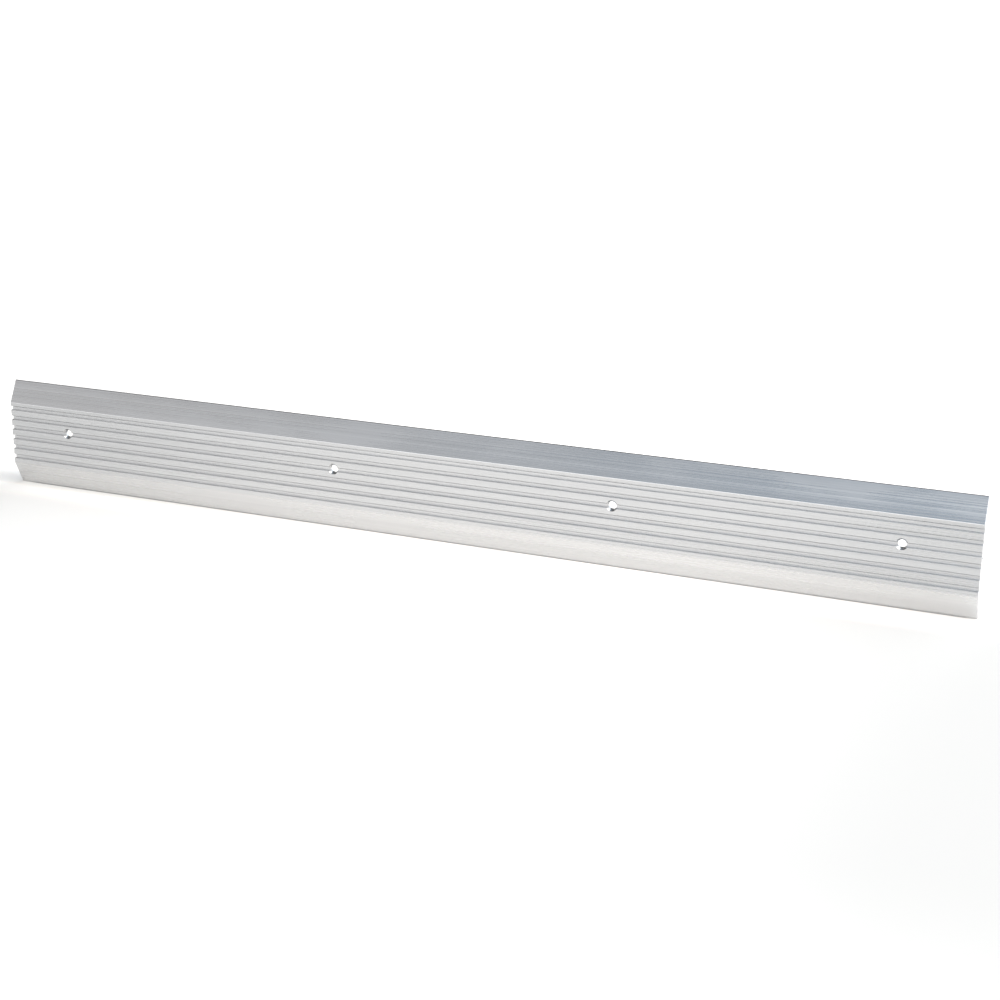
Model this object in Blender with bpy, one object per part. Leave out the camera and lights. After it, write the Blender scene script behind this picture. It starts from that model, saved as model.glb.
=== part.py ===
"""Ribbed aluminium blade strip for a small plough: one straight extrusion with four bolt holes.

Metres, +Z up. X runs along the strip, the ribbed face looks along -Y, and the back rib's
seat face lies in the plane Y = 0 with its middle at the origin.
"""

from math import hypot, radians

import bmesh
import bpy

# Driving dimensions of the strip
LENGTH = 1.2192
HEIGHT = 0.1362
SEAT_DEPTH = 0.0172  # from the rib crests back to the plane that bears on the blade
MID_HEIGHT_Z = 0.0015  # the section's mid-height, above the back rib's centre line

# Section heights, from mid-height
UPPER_FOLD_Z = 0.0404
LOWER_FOLD_Z = -0.0386
EDGE_SETBACK = 0.0138  # how far each flange leans back at its edge

# Ribs, each with a flat ledge on top and a groove above it, whose roof slopes in
RIB_COUNT = 6
RIB_PITCH = 0.0128
FIRST_LEDGE_Z = 0.0308
RIB_DEPTH = 0.0036
GROOVE_HEIGHT = 0.0055
GROOVE_WALL_HEIGHT = 0.0040

# Web and back rib
WEB_WALL = 0.0030
BACK_RIB_WALL = 0.0030

# Bolt holes, countersunk at 90 degrees, from the strip's left end
HOLE_DIAMETER = 0.0095
COUNTERSINK_DIAMETER = 0.0130
HOLE_Z = 0.0083
HOLES_FROM_LEFT = (0.086, 0.466, 0.816, 1.137)
HOLE_SIDES = 48
CUT_OVERRUN = 0.005

CREST_Y = -SEAT_DEPTH
GROOVE_Y = CREST_Y + RIB_DEPTH
WEB_BACK_Y = GROOVE_Y + WEB_WALL
SEAT_Y = 0.0


def rib_outline():
    """Front of the section from the first rib to the last, as (y, z) going down."""
    points = []
    for rib in range(RIB_COUNT):
        ledge = FIRST_LEDGE_Z - rib * RIB_PITCH
        points.append((CREST_Y, ledge + GROOVE_HEIGHT))
        points.append((GROOVE_Y, ledge + GROOVE_WALL_HEIGHT))
        points.append((GROOVE_Y, ledge))
        points.append((CREST_Y, ledge))
    return points


def flange_outline(fold_z, edge_z):
    """One flange as (y, z): front fold, front edge, back edge, and where it meets the web."""
    edge_y = CREST_Y + EDGE_SETBACK
    rise = edge_z - fold_z
    slant = hypot(EDGE_SETBACK, rise)
    wall = (SEAT_Y - edge_y) * slant / abs(rise)
    back_edge_z = edge_z - wall * EDGE_SETBACK / slant * (1 if rise > 0 else -1)
    back_root_z = back_edge_z - (SEAT_Y - WEB_BACK_Y) * rise / EDGE_SETBACK
    return [
        (CREST_Y, fold_z),
        (edge_y, edge_z),
        (SEAT_Y, back_edge_z),
        (WEB_BACK_Y, back_root_z),
    ]


def section_outline():
    """The whole section as one closed loop of (y, z), from the seat plane's frame."""
    upper = flange_outline(UPPER_FOLD_Z, HEIGHT / 2)
    lower = flange_outline(LOWER_FOLD_Z, -HEIGHT / 2)
    rib_low = -MID_HEIGHT_Z - BACK_RIB_WALL / 2
    rib_high = -MID_HEIGHT_Z + BACK_RIB_WALL / 2
    back_rib = [
        (WEB_BACK_Y, rib_low),
        (SEAT_Y, rib_low),
        (SEAT_Y, rib_high),
        (WEB_BACK_Y, rib_high),
    ]
    loop = rib_outline() + lower + back_rib + upper[::-1]
    return [(y, z + MID_HEIGHT_Z) for y, z in loop]


def clear_scene():
    for item in list(bpy.data.objects):
        bpy.data.objects.remove(item)


def new_collection(name):
    collection = bpy.data.collections.new(name)
    bpy.context.scene.collection.children.link(collection)
    return collection


def mill_aluminium():
    material = bpy.data.materials.new("mill_aluminium")
    material.use_nodes = True
    shader = material.node_tree.nodes["Principled BSDF"]
    shader.inputs["Base Color"].default_value = (0.65, 0.65, 0.655, 1.0)
    shader.inputs["Metallic"].default_value = 1.0
    shader.inputs["Roughness"].default_value = 0.38
    return material


def extrude_section(name, outline, length, collection):
    """The outline as a filled 2D curve, extruded along X and turned into a mesh."""
    curve = bpy.data.curves.new(name + "_outline", "CURVE")
    curve.dimensions = "2D"
    curve.fill_mode = "BOTH"
    curve.extrude = length / 2
    spline = curve.splines.new("POLY")
    spline.points.add(len(outline) - 1)
    spline.use_cyclic_u = True
    for point, (y, z) in zip(spline.points, outline):
        point.co = (y, z, 0.0, 1.0)
    guide = bpy.data.objects.new(name + "_outline", curve)
    guide.rotation_euler = (radians(90), 0.0, radians(90))
    collection.objects.link(guide)
    bpy.context.view_layer.update()

    graph = bpy.context.evaluated_depsgraph_get()
    mesh = bpy.data.meshes.new_from_object(guide.evaluated_get(graph))
    mesh.name = name
    welded = bmesh.new()
    welded.from_mesh(mesh)
    bmesh.ops.remove_doubles(welded, verts=welded.verts, dist=1e-6)
    welded.to_mesh(mesh)
    welded.free()
    strip = bpy.data.objects.new(name, mesh)
    strip.matrix_world = guide.matrix_world.copy()
    collection.objects.link(strip)
    bpy.data.objects.remove(guide)
    return strip


def keep_as_cutter(cutter, name, cutters):
    """Names the shape just added, and moves it to the hidden guides that the Boolean takes away."""
    cutter.name = name
    cutter.hide_render = True
    cutter.display_type = "WIRE"
    for collection in cutter.users_collection:
        collection.objects.unlink(cutter)
    cutters.objects.link(cutter)


def add_drill(number, from_left, cutters):
    """One bolt hole straight through the strip, along Y."""
    front = CREST_Y - CUT_OVERRUN
    back = SEAT_Y + CUT_OVERRUN
    bpy.ops.mesh.primitive_cylinder_add(
        vertices=HOLE_SIDES,
        radius=HOLE_DIAMETER / 2,
        depth=back - front,
        location=(from_left - LENGTH / 2, (front + back) / 2, HOLE_Z + MID_HEIGHT_Z),
        rotation=(radians(90), 0.0, 0.0),
    )
    keep_as_cutter(bpy.context.active_object, f"bolt_hole_{number}", cutters)


def add_countersink(number, from_left, cutters):
    """The 90 degree cone in front of a hole: its radius grows by as much as it comes forward."""
    tip = CREST_Y + COUNTERSINK_DIAMETER / 2
    front = CREST_Y - CUT_OVERRUN
    bpy.ops.mesh.primitive_cone_add(
        vertices=HOLE_SIDES,
        radius1=tip - front,
        radius2=0.0,
        depth=tip - front,
        location=(from_left - LENGTH / 2, (front + tip) / 2, HOLE_Z + MID_HEIGHT_Z),
        rotation=(radians(-90), 0.0, 0.0),
    )
    keep_as_cutter(bpy.context.active_object, f"countersink_{number}", cutters)


def main():
    clear_scene()
    blade = new_collection("atv_plow_blade")
    cutters = new_collection("cutters")
    strip = extrude_section("ribbed_blade_strip", section_outline(), LENGTH, blade)
    strip.data.materials.clear()
    strip.data.materials.append(mill_aluminium())
    for number, from_left in enumerate(HOLES_FROM_LEFT, start=1):
        add_drill(number, from_left, cutters)
        add_countersink(number, from_left, cutters)
    cut = strip.modifiers.new("bolt_holes", "BOOLEAN")
    cut.operation = "DIFFERENCE"
    cut.solver = "EXACT"
    cut.operand_type = "COLLECTION"
    cut.collection = cutters


main()
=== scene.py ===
# %% [markdown]
# # A ribbed aluminium blade strip
# One length of aluminium extrusion: six flat-topped ribs on its face, a flange folded back along each
# edge, a rib down the middle of the back, square saw-cut ends and four countersunk bolt holes.
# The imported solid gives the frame. This lesson builds the same strip again as a finished piece, with
# its small die radii, filed ends and drilled walls, and gives it the metal's real surface.

from math import hypot, pi, radians

import bmesh
import bpy
from mathutils import Matrix, Vector


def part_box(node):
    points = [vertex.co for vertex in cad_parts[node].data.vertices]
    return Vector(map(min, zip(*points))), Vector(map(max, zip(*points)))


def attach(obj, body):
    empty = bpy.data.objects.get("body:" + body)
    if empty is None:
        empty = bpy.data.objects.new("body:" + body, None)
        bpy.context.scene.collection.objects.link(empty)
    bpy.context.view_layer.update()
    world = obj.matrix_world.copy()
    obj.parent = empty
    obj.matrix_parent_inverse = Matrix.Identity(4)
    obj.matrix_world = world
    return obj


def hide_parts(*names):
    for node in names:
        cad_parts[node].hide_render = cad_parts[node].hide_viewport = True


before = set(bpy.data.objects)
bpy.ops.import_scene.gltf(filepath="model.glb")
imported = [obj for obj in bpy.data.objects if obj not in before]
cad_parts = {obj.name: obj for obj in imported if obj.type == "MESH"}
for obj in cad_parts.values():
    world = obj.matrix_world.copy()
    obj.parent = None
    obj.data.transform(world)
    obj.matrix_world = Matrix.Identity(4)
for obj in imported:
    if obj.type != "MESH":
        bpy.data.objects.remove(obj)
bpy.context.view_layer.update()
strip_low, strip_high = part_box("ribbed_blade_strip")
print("strip box in mm:", [round(1000 * side, 1) for side in strip_high - strip_low])

# %% [markdown]
# The strip's length, height and depth come from the frame. What the box can't say is where the folds,
# ribs and holes lie, so those are named here once, in metres, from the same drawing as the solid.
# Each rib has a flat ledge on top, and the roof of the groove above it slopes in. Heights count from
# the section's mid-height, and Y counts from the plane the back bears on.

# %% Sizes of the section
LEFT_END, RIGHT_END = strip_low.x, strip_high.x
CREST_Y, SEAT_Y = strip_low.y, strip_high.y
MID_Z = (strip_low.z + strip_high.z) / 2
HALF_HEIGHT = (strip_high.z - strip_low.z) / 2

UPPER_FOLD_Z = 0.0404
LOWER_FOLD_Z = -0.0386
EDGE_SETBACK = 0.0138

RIB_COUNT = 6
RIB_PITCH = 0.0128
FIRST_LEDGE_Z = 0.0308
RIB_DEPTH = 0.0036
GROOVE_HEIGHT = 0.0055
GROOVE_WALL_HEIGHT = 0.0040

WEB_WALL = 0.0030
BACK_RIB_WALL = 0.0030
GROOVE_Y = CREST_Y + RIB_DEPTH
WEB_BACK_Y = GROOVE_Y + WEB_WALL

HOLE_RADIUS = 0.0095 / 2
COUNTERSINK_RADIUS = 0.0130 / 2
HOLE_Z = 0.0083 + MID_Z
HOLES_FROM_LEFT = (0.086, 0.466, 0.816, 1.137)
print("crest to seat plane:", round(1000 * (SEAT_Y - CREST_Y), 2), "mm")

# %% [markdown]
# An extrusion die has no perfectly sharp corner: each one is eased by a few tenths of a millimetre,
# more at the back's roots, where a sharp corner would tear the metal. The section is therefore a list
# of corners, each with how far its rounding runs along its two sides. One loop draws the six ribs.

# %% Corners of the section
LEDGE_EASE = 0.00036
LIP_EASE = 0.00033
ROOT_EASE = 0.0004
FOLD_EASE = 0.0007
FRONT_EDGE_EASE = 0.0014
BACK_EDGE_EASE = 0.0006
BACK_ROOT_EASE = 0.0020


def rib_corners():
    corners = []
    for rib in range(RIB_COUNT):
        ledge = FIRST_LEDGE_Z - rib * RIB_PITCH
        corners.append((CREST_Y, ledge + GROOVE_HEIGHT, LIP_EASE))
        corners.append((GROOVE_Y, ledge + GROOVE_WALL_HEIGHT, ROOT_EASE))
        corners.append((GROOVE_Y, ledge, ROOT_EASE))
        corners.append((CREST_Y, ledge, LEDGE_EASE))
    return corners


def flange_corners(fold_z, edge_z):
    edge_y = CREST_Y + EDGE_SETBACK
    rise = edge_z - fold_z
    slant = hypot(EDGE_SETBACK, rise)
    wall = (SEAT_Y - edge_y) * slant / abs(rise)
    back_edge_z = edge_z - wall * EDGE_SETBACK / slant * (1 if rise > 0 else -1)
    back_root_z = back_edge_z - (SEAT_Y - WEB_BACK_Y) * rise / EDGE_SETBACK
    return [
        (CREST_Y, fold_z, FOLD_EASE),
        (edge_y, edge_z, FRONT_EDGE_EASE),
        (SEAT_Y, back_edge_z, BACK_EDGE_EASE),
        (WEB_BACK_Y, back_root_z, BACK_ROOT_EASE),
    ]


def section_corners():
    upper = flange_corners(UPPER_FOLD_Z, HALF_HEIGHT)
    lower = flange_corners(LOWER_FOLD_Z, -HALF_HEIGHT)
    half_rib = BACK_RIB_WALL / 2
    back_rib = [
        (WEB_BACK_Y, -MID_Z - half_rib, BACK_ROOT_EASE / 2),
        (SEAT_Y, -MID_Z - half_rib, ROOT_EASE),
        (SEAT_Y, -MID_Z + half_rib, ROOT_EASE),
        (WEB_BACK_Y, -MID_Z + half_rib, BACK_ROOT_EASE / 2),
    ]
    return rib_corners() + lower + back_rib + upper[::-1]


print(len(section_corners()), "corners in the section")

# %% [markdown]
# The strip is made as the press makes it. The corners become one flat face at the left end, a vertex
# bevel rounds each corner by its own amount, and the face is extruded to the full length. Each end is
# then inset and pushed out by a third of a millimetre, which leaves the small chamfer of a filed saw
# cut. Every easing is larger than this inset, or the inset would fold over at the tightest corners.

# %% Extrude the strip
EASE_SEGMENTS = 4
END_CHAMFER = 0.0003
FACES_ALONG_X = 0.9


def rounded_section(mesh):
    corners = section_corners()
    x = LEFT_END + END_CHAMFER
    points = [mesh.verts.new((x, y, z + MID_Z)) for y, z, _ in corners]
    mesh.faces.new(points)
    for ease in sorted({ease for _, _, ease in corners}):
        here = [point for point, corner in zip(points, corners) if corner[2] == ease]
        bmesh.ops.bevel(
            mesh, geom=here, offset=ease, offset_type="OFFSET", affect="VERTICES",
            segments=EASE_SEGMENTS, profile=0.5, material=-1,
        )
    return mesh.faces[:]


def extruded_strip():
    mesh = bmesh.new()
    start = rounded_section(mesh)
    grown = bmesh.ops.extrude_face_region(mesh, geom=start)["geom"]
    far_points = [item for item in grown if isinstance(item, bmesh.types.BMVert)]
    reach = RIGHT_END - LEFT_END - 2 * END_CHAMFER
    bmesh.ops.translate(mesh, verts=far_points, vec=(reach, 0, 0))
    bmesh.ops.recalc_face_normals(mesh, faces=mesh.faces[:])
    ends = [face for face in mesh.faces if abs(face.normal.x) > FACES_ALONG_X]
    for end in ends:
        bmesh.ops.inset_region(mesh, faces=[end], thickness=END_CHAMFER, depth=END_CHAMFER)
        end.material_index = 1
    return mesh


strip_mesh = extruded_strip()
print(len(strip_mesh.faces), "faces before drilling,", round(strip_mesh.calc_volume() * 1e6), "cm3")

# %% [markdown]
# A bolt hole is more than a cylinder: it is countersunk in front for a flat-headed bolt, and a light
# touch takes the burr off its back. So the tool is a half profile spun round the hole's axis, once for
# each hole. Its faces carry two material numbers, one for the cones and one for the straight wall.

# %% Drill and countersink tools
COUNTERSINK_DEPTH = COUNTERSINK_RADIUS - HOLE_RADIUS
BACK_BREAK = 0.0004
TOOL_OVERRUN = 0.0010
DRILL_STEPS = 72
CONE_SLOPE = 0.3


def drill_profile():
    """Radius and Y of the tool, from its wide front to its end behind the web."""
    front = CREST_Y - TOOL_OVERRUN
    back = WEB_BACK_Y + TOOL_OVERRUN
    return [
        (0.0, front),
        (COUNTERSINK_RADIUS + TOOL_OVERRUN, front),
        (HOLE_RADIUS, CREST_Y + COUNTERSINK_DEPTH),
        (HOLE_RADIUS, WEB_BACK_Y - BACK_BREAK),
        (HOLE_RADIUS + BACK_BREAK + TOOL_OVERRUN, back),
        (0.0, back),
    ]


def drill_tools():
    mesh = bmesh.new()
    for from_left in HOLES_FROM_LEFT:
        centre = Vector((LEFT_END + from_left, 0, HOLE_Z))
        points = [mesh.verts.new(centre + Vector((r, y, 0))) for r, y in drill_profile()]
        edges = [mesh.edges.new(pair) for pair in zip(points, points[1:])]
        bmesh.ops.spin(
            mesh, geom=points + edges, cent=centre, axis=(0, 1, 0), angle=2 * pi,
            steps=DRILL_STEPS, use_merge=True,
        )
    bmesh.ops.remove_doubles(mesh, verts=mesh.verts[:], dist=1e-6)
    bmesh.ops.recalc_face_normals(mesh, faces=mesh.faces[:])
    for face in mesh.faces:
        face.material_index = 1 if abs(face.normal.y) > CONE_SLOPE else 0
    return mesh


def to_object(name, mesh):
    data = bpy.data.meshes.new(name)
    mesh.to_mesh(data)
    mesh.free()
    thing = bpy.data.objects.new(name, data)
    bpy.context.scene.collection.objects.link(thing)
    return thing


def finished_mesh(thing):
    """The object's mesh with its modifiers applied."""
    bpy.context.view_layer.update()
    graph = bpy.context.evaluated_depsgraph_get()
    return bpy.data.meshes.new_from_object(thing.evaluated_get(graph))


strip = to_object("blade_strip", strip_mesh)
tools = to_object("drill_tools", drill_tools())
print(len(tools.data.polygons), "faces on", len(HOLES_FROM_LEFT), "tools")

# %% [markdown]
# Shader maths reads best as plain expressions. A Signal wraps one output socket, so that adding or
# multiplying two of them adds the Math node between them.

# %% A small language for nodes
class Signal:
    """One value that varies over a surface, or over the directions of the sky."""

    def __init__(self, kit, socket):
        self.kit = kit
        self.socket = socket

    def out(self, name):
        return Signal(self.kit, self.socket.node.outputs[name])

    def __add__(self, other):
        return self.kit.maths("ADD", self, other)

    def __sub__(self, other):
        return self.kit.maths("SUBTRACT", self, other)

    def __rsub__(self, other):
        return self.kit.maths("SUBTRACT", other, self)

    def __mul__(self, other):
        return self.kit.maths("MULTIPLY", self, other)

    __radd__ = __add__
    __rmul__ = __mul__


class NodeKit:
    def __init__(self, tree):
        self.tree = tree

    def node(self, kind, settings, sockets, output=0):
        made = self.tree.nodes.new(kind)
        for key, value in settings.items():
            setattr(made, key, value)
        for socket, value in sockets.items():
            self.feed(made.inputs[socket], value)
        return Signal(self, made.outputs[output])

    def feed(self, socket, value):
        if isinstance(value, Signal):
            self.tree.links.new(value.socket, socket)
        else:
            socket.default_value = value

    def maths(self, operation, *values):
        return self.node("ShaderNodeMath", {"operation": operation}, dict(enumerate(values)))

    def vectors(self, operation, first, second, output=0):
        sockets = {0: first, 1: second}
        return self.node("ShaderNodeVectorMath", {"operation": operation}, sockets, output)

    def fade(self, value, start, end, low=0.0, high=1.0):
        """Goes smoothly from low to high while the value goes from start to end."""
        sockets = {"Value": value, "From Min": start, "From Max": end, "To Min": low, "To Max": high}
        return self.node("ShaderNodeMapRange", {"interpolation_type": "SMOOTHSTEP"}, sockets)

    def blend(self, factor, first, second):
        """A mix of two colours."""
        colours = {0: factor, 6: first, 7: second}
        return self.node("ShaderNodeMix", {"data_type": "RGBA"}, colours, output=2)

    def noise(self, place, scale, detail=2.0):
        spread = self.node("ShaderNodeMapping", {}, {"Vector": place, "Scale": scale})
        return self.node("ShaderNodeTexNoise", {}, {"Vector": spread, "Scale": 1.0, "Detail": detail})


class Finish(NodeKit):
    """One material: constants go straight on its shader, and vary() links what changes."""

    def __init__(self, name, constants):
        self.material = bpy.data.materials.new(name)
        self.material.use_nodes = True
        super().__init__(self.material.node_tree)
        self.shader = self.tree.nodes["Principled BSDF"]
        for socket, value in constants.items():
            self.shader.inputs[socket].default_value = value

    def place(self):
        return self.node("ShaderNodeTexCoord", {}, {}, output="Object")

    def vary(self, sockets):
        for socket, value in sockets.items():
            self.feed(self.shader.inputs[socket], value)

    def bump(self, height, depth, strength):
        return self.node("ShaderNodeBump", {}, {"Height": height, "Distance": depth, "Strength": strength})


# %% [markdown]
# Mill finish is the bare skin that an extrusion has when it leaves the die. The die draws fine lines
# along the whole length, a few wider bands come from the flow of the metal, and handling leaves soft
# patches. Three noises do this on Object coordinates, each stretched along X by its scale: the lines
# go into tone, roughness and a shallow bump, the bands into tone, and the patches into roughness.

# %% Mill-finish aluminium
MILL_DARK = (0.56, 0.56, 0.565, 1)
MILL_LIGHT = (0.73, 0.73, 0.73, 1)
LINES_PER_METRE = (0.5, 1100, 1100)
BANDS_PER_METRE = (0.9, 130, 130)
PATCHES_PER_METRE = (7, 28, 28)
LINE_DEPTH = 0.00012


def mill_aluminium():
    metal = Finish("mill_aluminium", {"Metallic": 1.0})
    place = metal.place()
    lines = metal.noise(place, LINES_PER_METRE, detail=3)
    bands = metal.noise(place, BANDS_PER_METRE)
    patches = metal.noise(place, PATCHES_PER_METRE, detail=3)
    tone = metal.fade(bands, 0.35, 0.65, 0.40, 0.60) + metal.fade(lines, 0.3, 0.7, -0.10, 0.10)
    roughness = metal.fade(lines, 0.3, 0.7, 0.24, 0.34) + metal.fade(patches, 0.35, 0.65, -0.03, 0.04)
    metal.vary({
        "Base Color": metal.blend(tone, MILL_DARK, MILL_LIGHT),
        "Roughness": roughness,
        "Normal": metal.bump(lines, LINE_DEPTH, 0.25),
    })
    return metal.material


# %% [markdown]
# A circular saw cuts the strip to length and leaves arcs on the end: each tooth scores a line as far
# from the blade's arbor as the tooth is. So the marks follow the distance from an arbor that lies
# well below the strip, with a little noise, as no two teeth are set alike.

# %% Saw-cut ends
ARBOR_Y, ARBOR_Z = 0.060, -0.190
ACROSS_THE_END = (0, 1, 1)
SCORES_PER_METRE = 2600
SCORE_DARK = (0.62, 0.625, 0.63, 1)
SCORE_LIGHT = (0.84, 0.84, 0.84, 1)
SCORE_DEPTH = 0.0002


def saw_cut_aluminium():
    metal = Finish("saw_cut_aluminium", {"Metallic": 1.0})
    arbor = metal.node("ShaderNodeCombineXYZ", {}, {"Y": ARBOR_Y, "Z": ARBOR_Z})
    flat = metal.vectors("MULTIPLY", metal.place(), ACROSS_THE_END)
    reach = metal.vectors("DISTANCE", flat, arbor, output="Value")
    ring = metal.node("ShaderNodeCombineXYZ", {}, {"X": reach * SCORES_PER_METRE})
    scores = metal.node("ShaderNodeTexNoise", {}, {"Vector": ring, "Scale": 1.0, "Detail": 2.0})
    metal.vary({
        "Base Color": metal.blend(scores, SCORE_DARK, SCORE_LIGHT),
        "Roughness": metal.fade(scores, 0.3, 0.7, 0.28, 0.45),
        "Normal": metal.bump(scores, SCORE_DEPTH, 0.5),
    })
    return metal.material


# %% [markdown]
# Inside a hole the twist drill leaves close rings round the axis. The cut metal is given greys a
# little darker than the faces, which paints shade into the holes. The countersink turns a smoother cone,
# which mirrors the room more sharply. Both are one function of the depth along Y, as the holes run
# straight through.

# %% Drilled walls and countersinks
RINGS_PER_METRE = (60, 5000, 60)
RING_DEPTH = 0.00008


def turned_aluminium(name, dark, light, smooth, rough):
    """Metal with rings that vary between two greys and two roughnesses."""
    metal = Finish(name, {"Metallic": 1.0})
    rings = metal.noise(metal.place(), RINGS_PER_METRE, detail=1)
    metal.vary({
        "Base Color": metal.blend(rings, (dark, dark, dark, 1), (light, light, light, 1)),
        "Roughness": metal.fade(rings, 0.3, 0.7, smooth, rough),
        "Normal": metal.bump(rings, RING_DEPTH, 0.4),
    })
    return metal.material


strip.data.materials.append(mill_aluminium())
strip.data.materials.append(saw_cut_aluminium())
# The greys of both hole materials sit below the mill finish's: painted shade inside the holes.
tools.data.materials.append(turned_aluminium("drilled_aluminium", 0.48, 0.64, 0.20, 0.34))
tools.data.materials.append(turned_aluminium("countersunk_aluminium", 0.46, 0.60, 0.14, 0.24))
print(len(bpy.data.materials["mill_aluminium"].node_tree.nodes), "nodes in the mill finish")

# %% [markdown]
# A Boolean takes the tools out of the strip, and the tools' materials come with the cut faces. Then
# the mesh is shaded: smooth round the small radii, sharp where two faces meet at more than 35
# degrees, and with normals weighted by area so that the broad faces stay flat beside their radii.

# %% Cut the holes and shade the piece
SHARP_ANGLE = radians(35)

cut = strip.modifiers.new("bolt_holes", "BOOLEAN")
cut.operation = "DIFFERENCE"
cut.object = tools
cut.material_mode = "TRANSFER"
strip.data = finished_mesh(strip)
strip.modifiers.clear()
bpy.data.objects.remove(tools)
strip.data.shade_smooth()
strip.data.set_sharp_from_angle(angle=SHARP_ANGLE)
weights = strip.modifiers.new("face_weights", "WEIGHTED_NORMAL")
weights.keep_sharp = True
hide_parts("ribbed_blade_strip")
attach(strip, "root")
print(len(strip.data.polygons), "faces,", [material.name for material in strip.data.materials])

# %% [markdown]
# The strip stands on a wide, flat sheet of white paper, a hair below its lowest edge. The sheet is a
# disc so large that no view reaches its rim.

# %% Floor
FLOOR_RADIUS = 60
FLOOR_SIDES = 96
FLOOR_GAP = 0.0001
strip_foot = min(point.co.z for point in strip.data.vertices)

floor_mesh = bmesh.new()
bmesh.ops.create_circle(floor_mesh, cap_ends=True, radius=FLOOR_RADIUS, segments=FLOOR_SIDES)
floor = to_object("floor", floor_mesh)
floor.location.z = strip_foot - FLOOR_GAP
print("floor at z =", round(1000 * floor.location.z, 2), "mm")

# %% [markdown]
# Bare metal shows the paper more than itself, so light is painted into the paper as glow, in soft parts
# laid out on the floor in metres. A painted pool of light lies round the strip's middle. A painted apron
# of light starts five centimetres in front of the strip and is brighter to the right. The painted glow
# dims again in the last two centimetres, which keeps the lower flange from burning out. A painted
# backdrop glow makes the paper white behind the strip and far in front of it. Under the strip the paper
# is painted dark and doesn't glow: that is a painted contact shadow. It stays between the strip's ends,
# slants in at the right and fades out behind.

# %% Paper with painted light and shade
# PAPER_GLOW colours the painted light, and SHADED_TONE is the dark grey of the painted contact shadow.
PAPER_TONE = (0.81, 0.785, 0.755, 1)
PAPER_GLOW = (1.0, 0.965, 0.93, 1)
SHADED_TONE = (0.16, 0.16, 0.16, 1)
NO_GLOW = (0, 0, 0, 1)
SHADE_SKEW = 0.13


def painted_light_paper():
    paper = Finish("painted_light_paper", {"Roughness": 0.9, "Specular IOR Level": 0.0, "Emission Strength": 1.0})
    across = paper.node("ShaderNodeSeparateXYZ", {}, {"Vector": paper.place()})
    depth = across.out("Y")
    # Painted light: pool, apron and backdrop are glow painted on the paper, and dimming takes some of it
    # away near the strip.
    pool = paper.fade(across, -0.95, -0.10, 0.03, 0.31) - paper.fade(across, 0.25, 0.65, 0.0, 0.20)
    apron = paper.fade(depth, -0.07, -0.035) * paper.fade(across, -0.60, 0.60, 0.12, 0.27)
    dimming = paper.fade(depth, -0.024, -0.006) * paper.fade(across, -0.60, 0.20, 0.17, 0.13)
    backdrop = paper.fade(depth, -0.003, 0.05, 0.0, 0.4) + paper.fade(depth, -0.90, -0.55, 0.15, 0.0)
    # Painted contact shadow: beneath and between_ends mark where the paper is painted dark and loses its
    # glow.
    beneath = paper.fade(depth, -0.0058, -0.0018) - paper.fade(depth, 0.02, 0.24)
    right_of_end = paper.fade(across + depth * SHADE_SKEW, 0.588, 0.612)
    between_ends = paper.fade(across, -0.615, -0.580) - right_of_end
    shade = beneath * between_ends
    glow = (pool + apron + backdrop - dimming) * (1 - shade)
    paper.vary({
        "Base Color": paper.blend(shade, PAPER_TONE, SHADED_TONE),
        "Emission Color": paper.blend(glow, NO_GLOW, PAPER_GLOW),
    })
    return paper.material


floor.data.materials.append(painted_light_paper())
print(floor.data.materials[0].name, "on the floor")

# %% [markdown]
# A straight extrusion mirrors only what lies along its own length: seen from the right, all its faces
# look to the left. So the room's walls give the metal its tones, painted by direction alone. Low in
# front, the pale wall lights the ribs and the lower flange, duller towards the far left. Higher up, a
# grey wall that turns slightly blue gives the upper flange its darker tone, and behind the strip the
# room is dark. The light itself comes from a broad, bluish window on the right, which the flange
# catches at its right end, and from one large warm lamp above it.

# %% Studio light
DULL_WALL = (1.10, 1.10, 1.11, 1)
PALE_WALL = (1.78, 1.78, 1.79, 1)
GREY_WALL = (0.555, 0.55, 0.555, 1)
BLUE_WALL = (0.41, 0.485, 0.575, 1)
DARK_WALL = (0.08, 0.08, 0.085, 1)
WINDOW = (1.70, 1.84, 1.98, 1)
LAMP = (3.60, 3.50, 3.35, 1)
TOWARDS_LAMP = (0.55, -0.47, 0.69)

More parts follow.
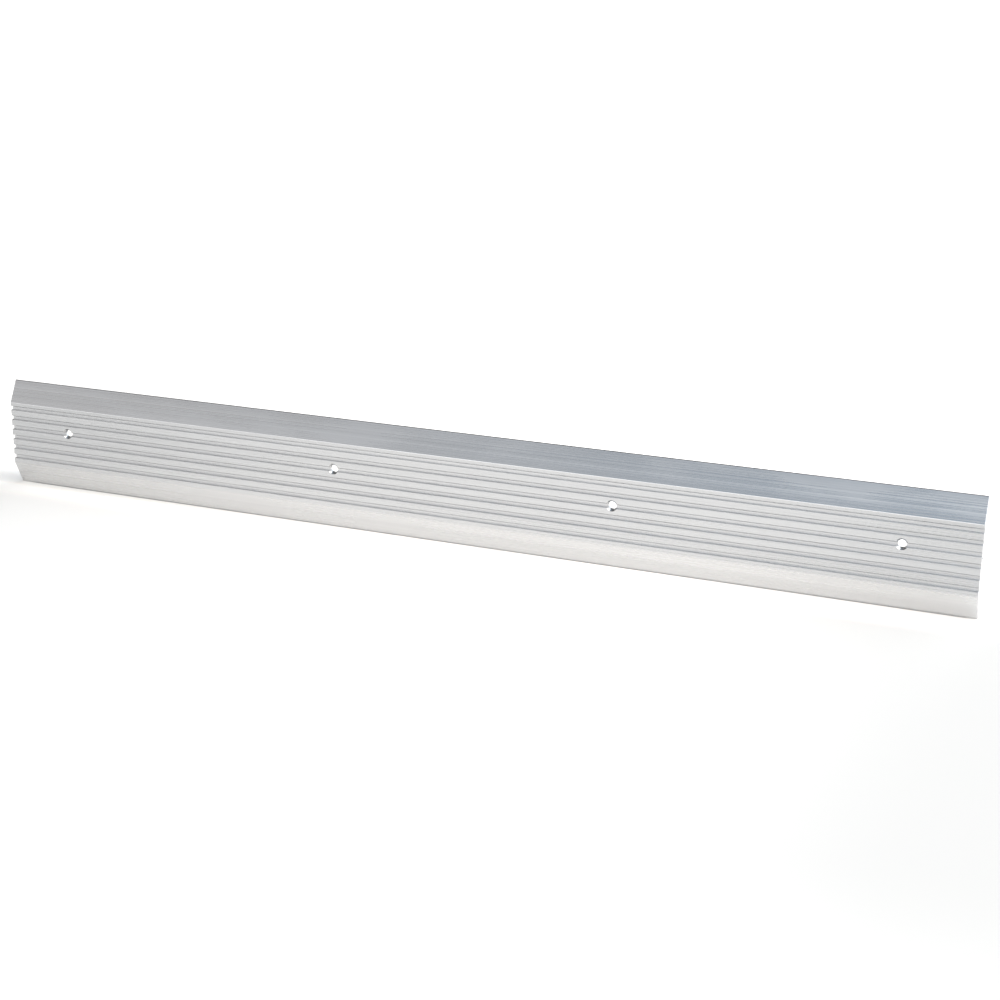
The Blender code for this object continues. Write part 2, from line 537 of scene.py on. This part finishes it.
world = bpy.data.worlds.new("soft_studio")
bpy.context.scene.world = world
world.use_nodes = True
room = NodeKit(world.node_tree)
looking = room.node("ShaderNodeTexCoord", {}, {}, output="Generated")
towards = room.node("ShaderNodeSeparateXYZ", {}, {"Vector": looking})
low_wall = room.blend(room.fade(towards, -0.62, -0.36), DULL_WALL, PALE_WALL)
high_wall = room.blend(room.fade(towards, -0.55, -0.15), GREY_WALL, BLUE_WALL)
front_wall = room.blend(room.fade(towards.out("Z"), 0.24, 0.50), low_wall, high_wall)
walls = room.blend(room.fade(towards.out("Y"), -0.50, -0.10), front_wall, DARK_WALL)
with_window = room.blend(room.fade(towards, 0.00, 0.22), walls, WINDOW)
near_lamp = room.vectors("DOT_PRODUCT", looking, TOWARDS_LAMP, output="Value")
light = room.blend(room.fade(near_lamp, 0.90, 0.96), with_window, LAMP)
room.feed(world.node_tree.nodes["Background"].inputs["Color"], light)
bpy.context.scene.view_settings.view_transform = "Standard"
print(len(world.node_tree.nodes), "nodes in the world")

# %% [markdown]
# The camera stands in front of the strip, to the right of its middle and above it, and looks down and
# a little to the left, so that the strip runs away from it to the left. Its matrix is a place and
# three turns: round the vertical, down from the horizon, and a slight roll.

# %% Camera
CAMERA_PLACE = Vector((0.79277, -1.75815, 0.5829))
CAMERA_TURN, CAMERA_TILT, CAMERA_ROLL = radians(22.5), radians(17.21), radians(0.65)
FOCAL_LENGTH = 62.0
SENSOR_WIDTH = 36.0

camera = bpy.data.objects.new("camera", bpy.data.cameras.new("camera"))
bpy.context.scene.collection.objects.link(camera)
camera.data.sensor_width = SENSOR_WIDTH
camera.data.lens = FOCAL_LENGTH
camera.matrix_world = (
    Matrix.Translation(CAMERA_PLACE)
    @ Matrix.Rotation(CAMERA_TURN, 4, "Z")
    @ Matrix.Rotation(pi / 2 - CAMERA_TILT, 4, "X")
    @ Matrix.Rotation(CAMERA_ROLL, 4, "Z")
)
bpy.context.scene.camera = camera
print("camera to the strip's middle:", round(CAMERA_PLACE.length, 2), "m")
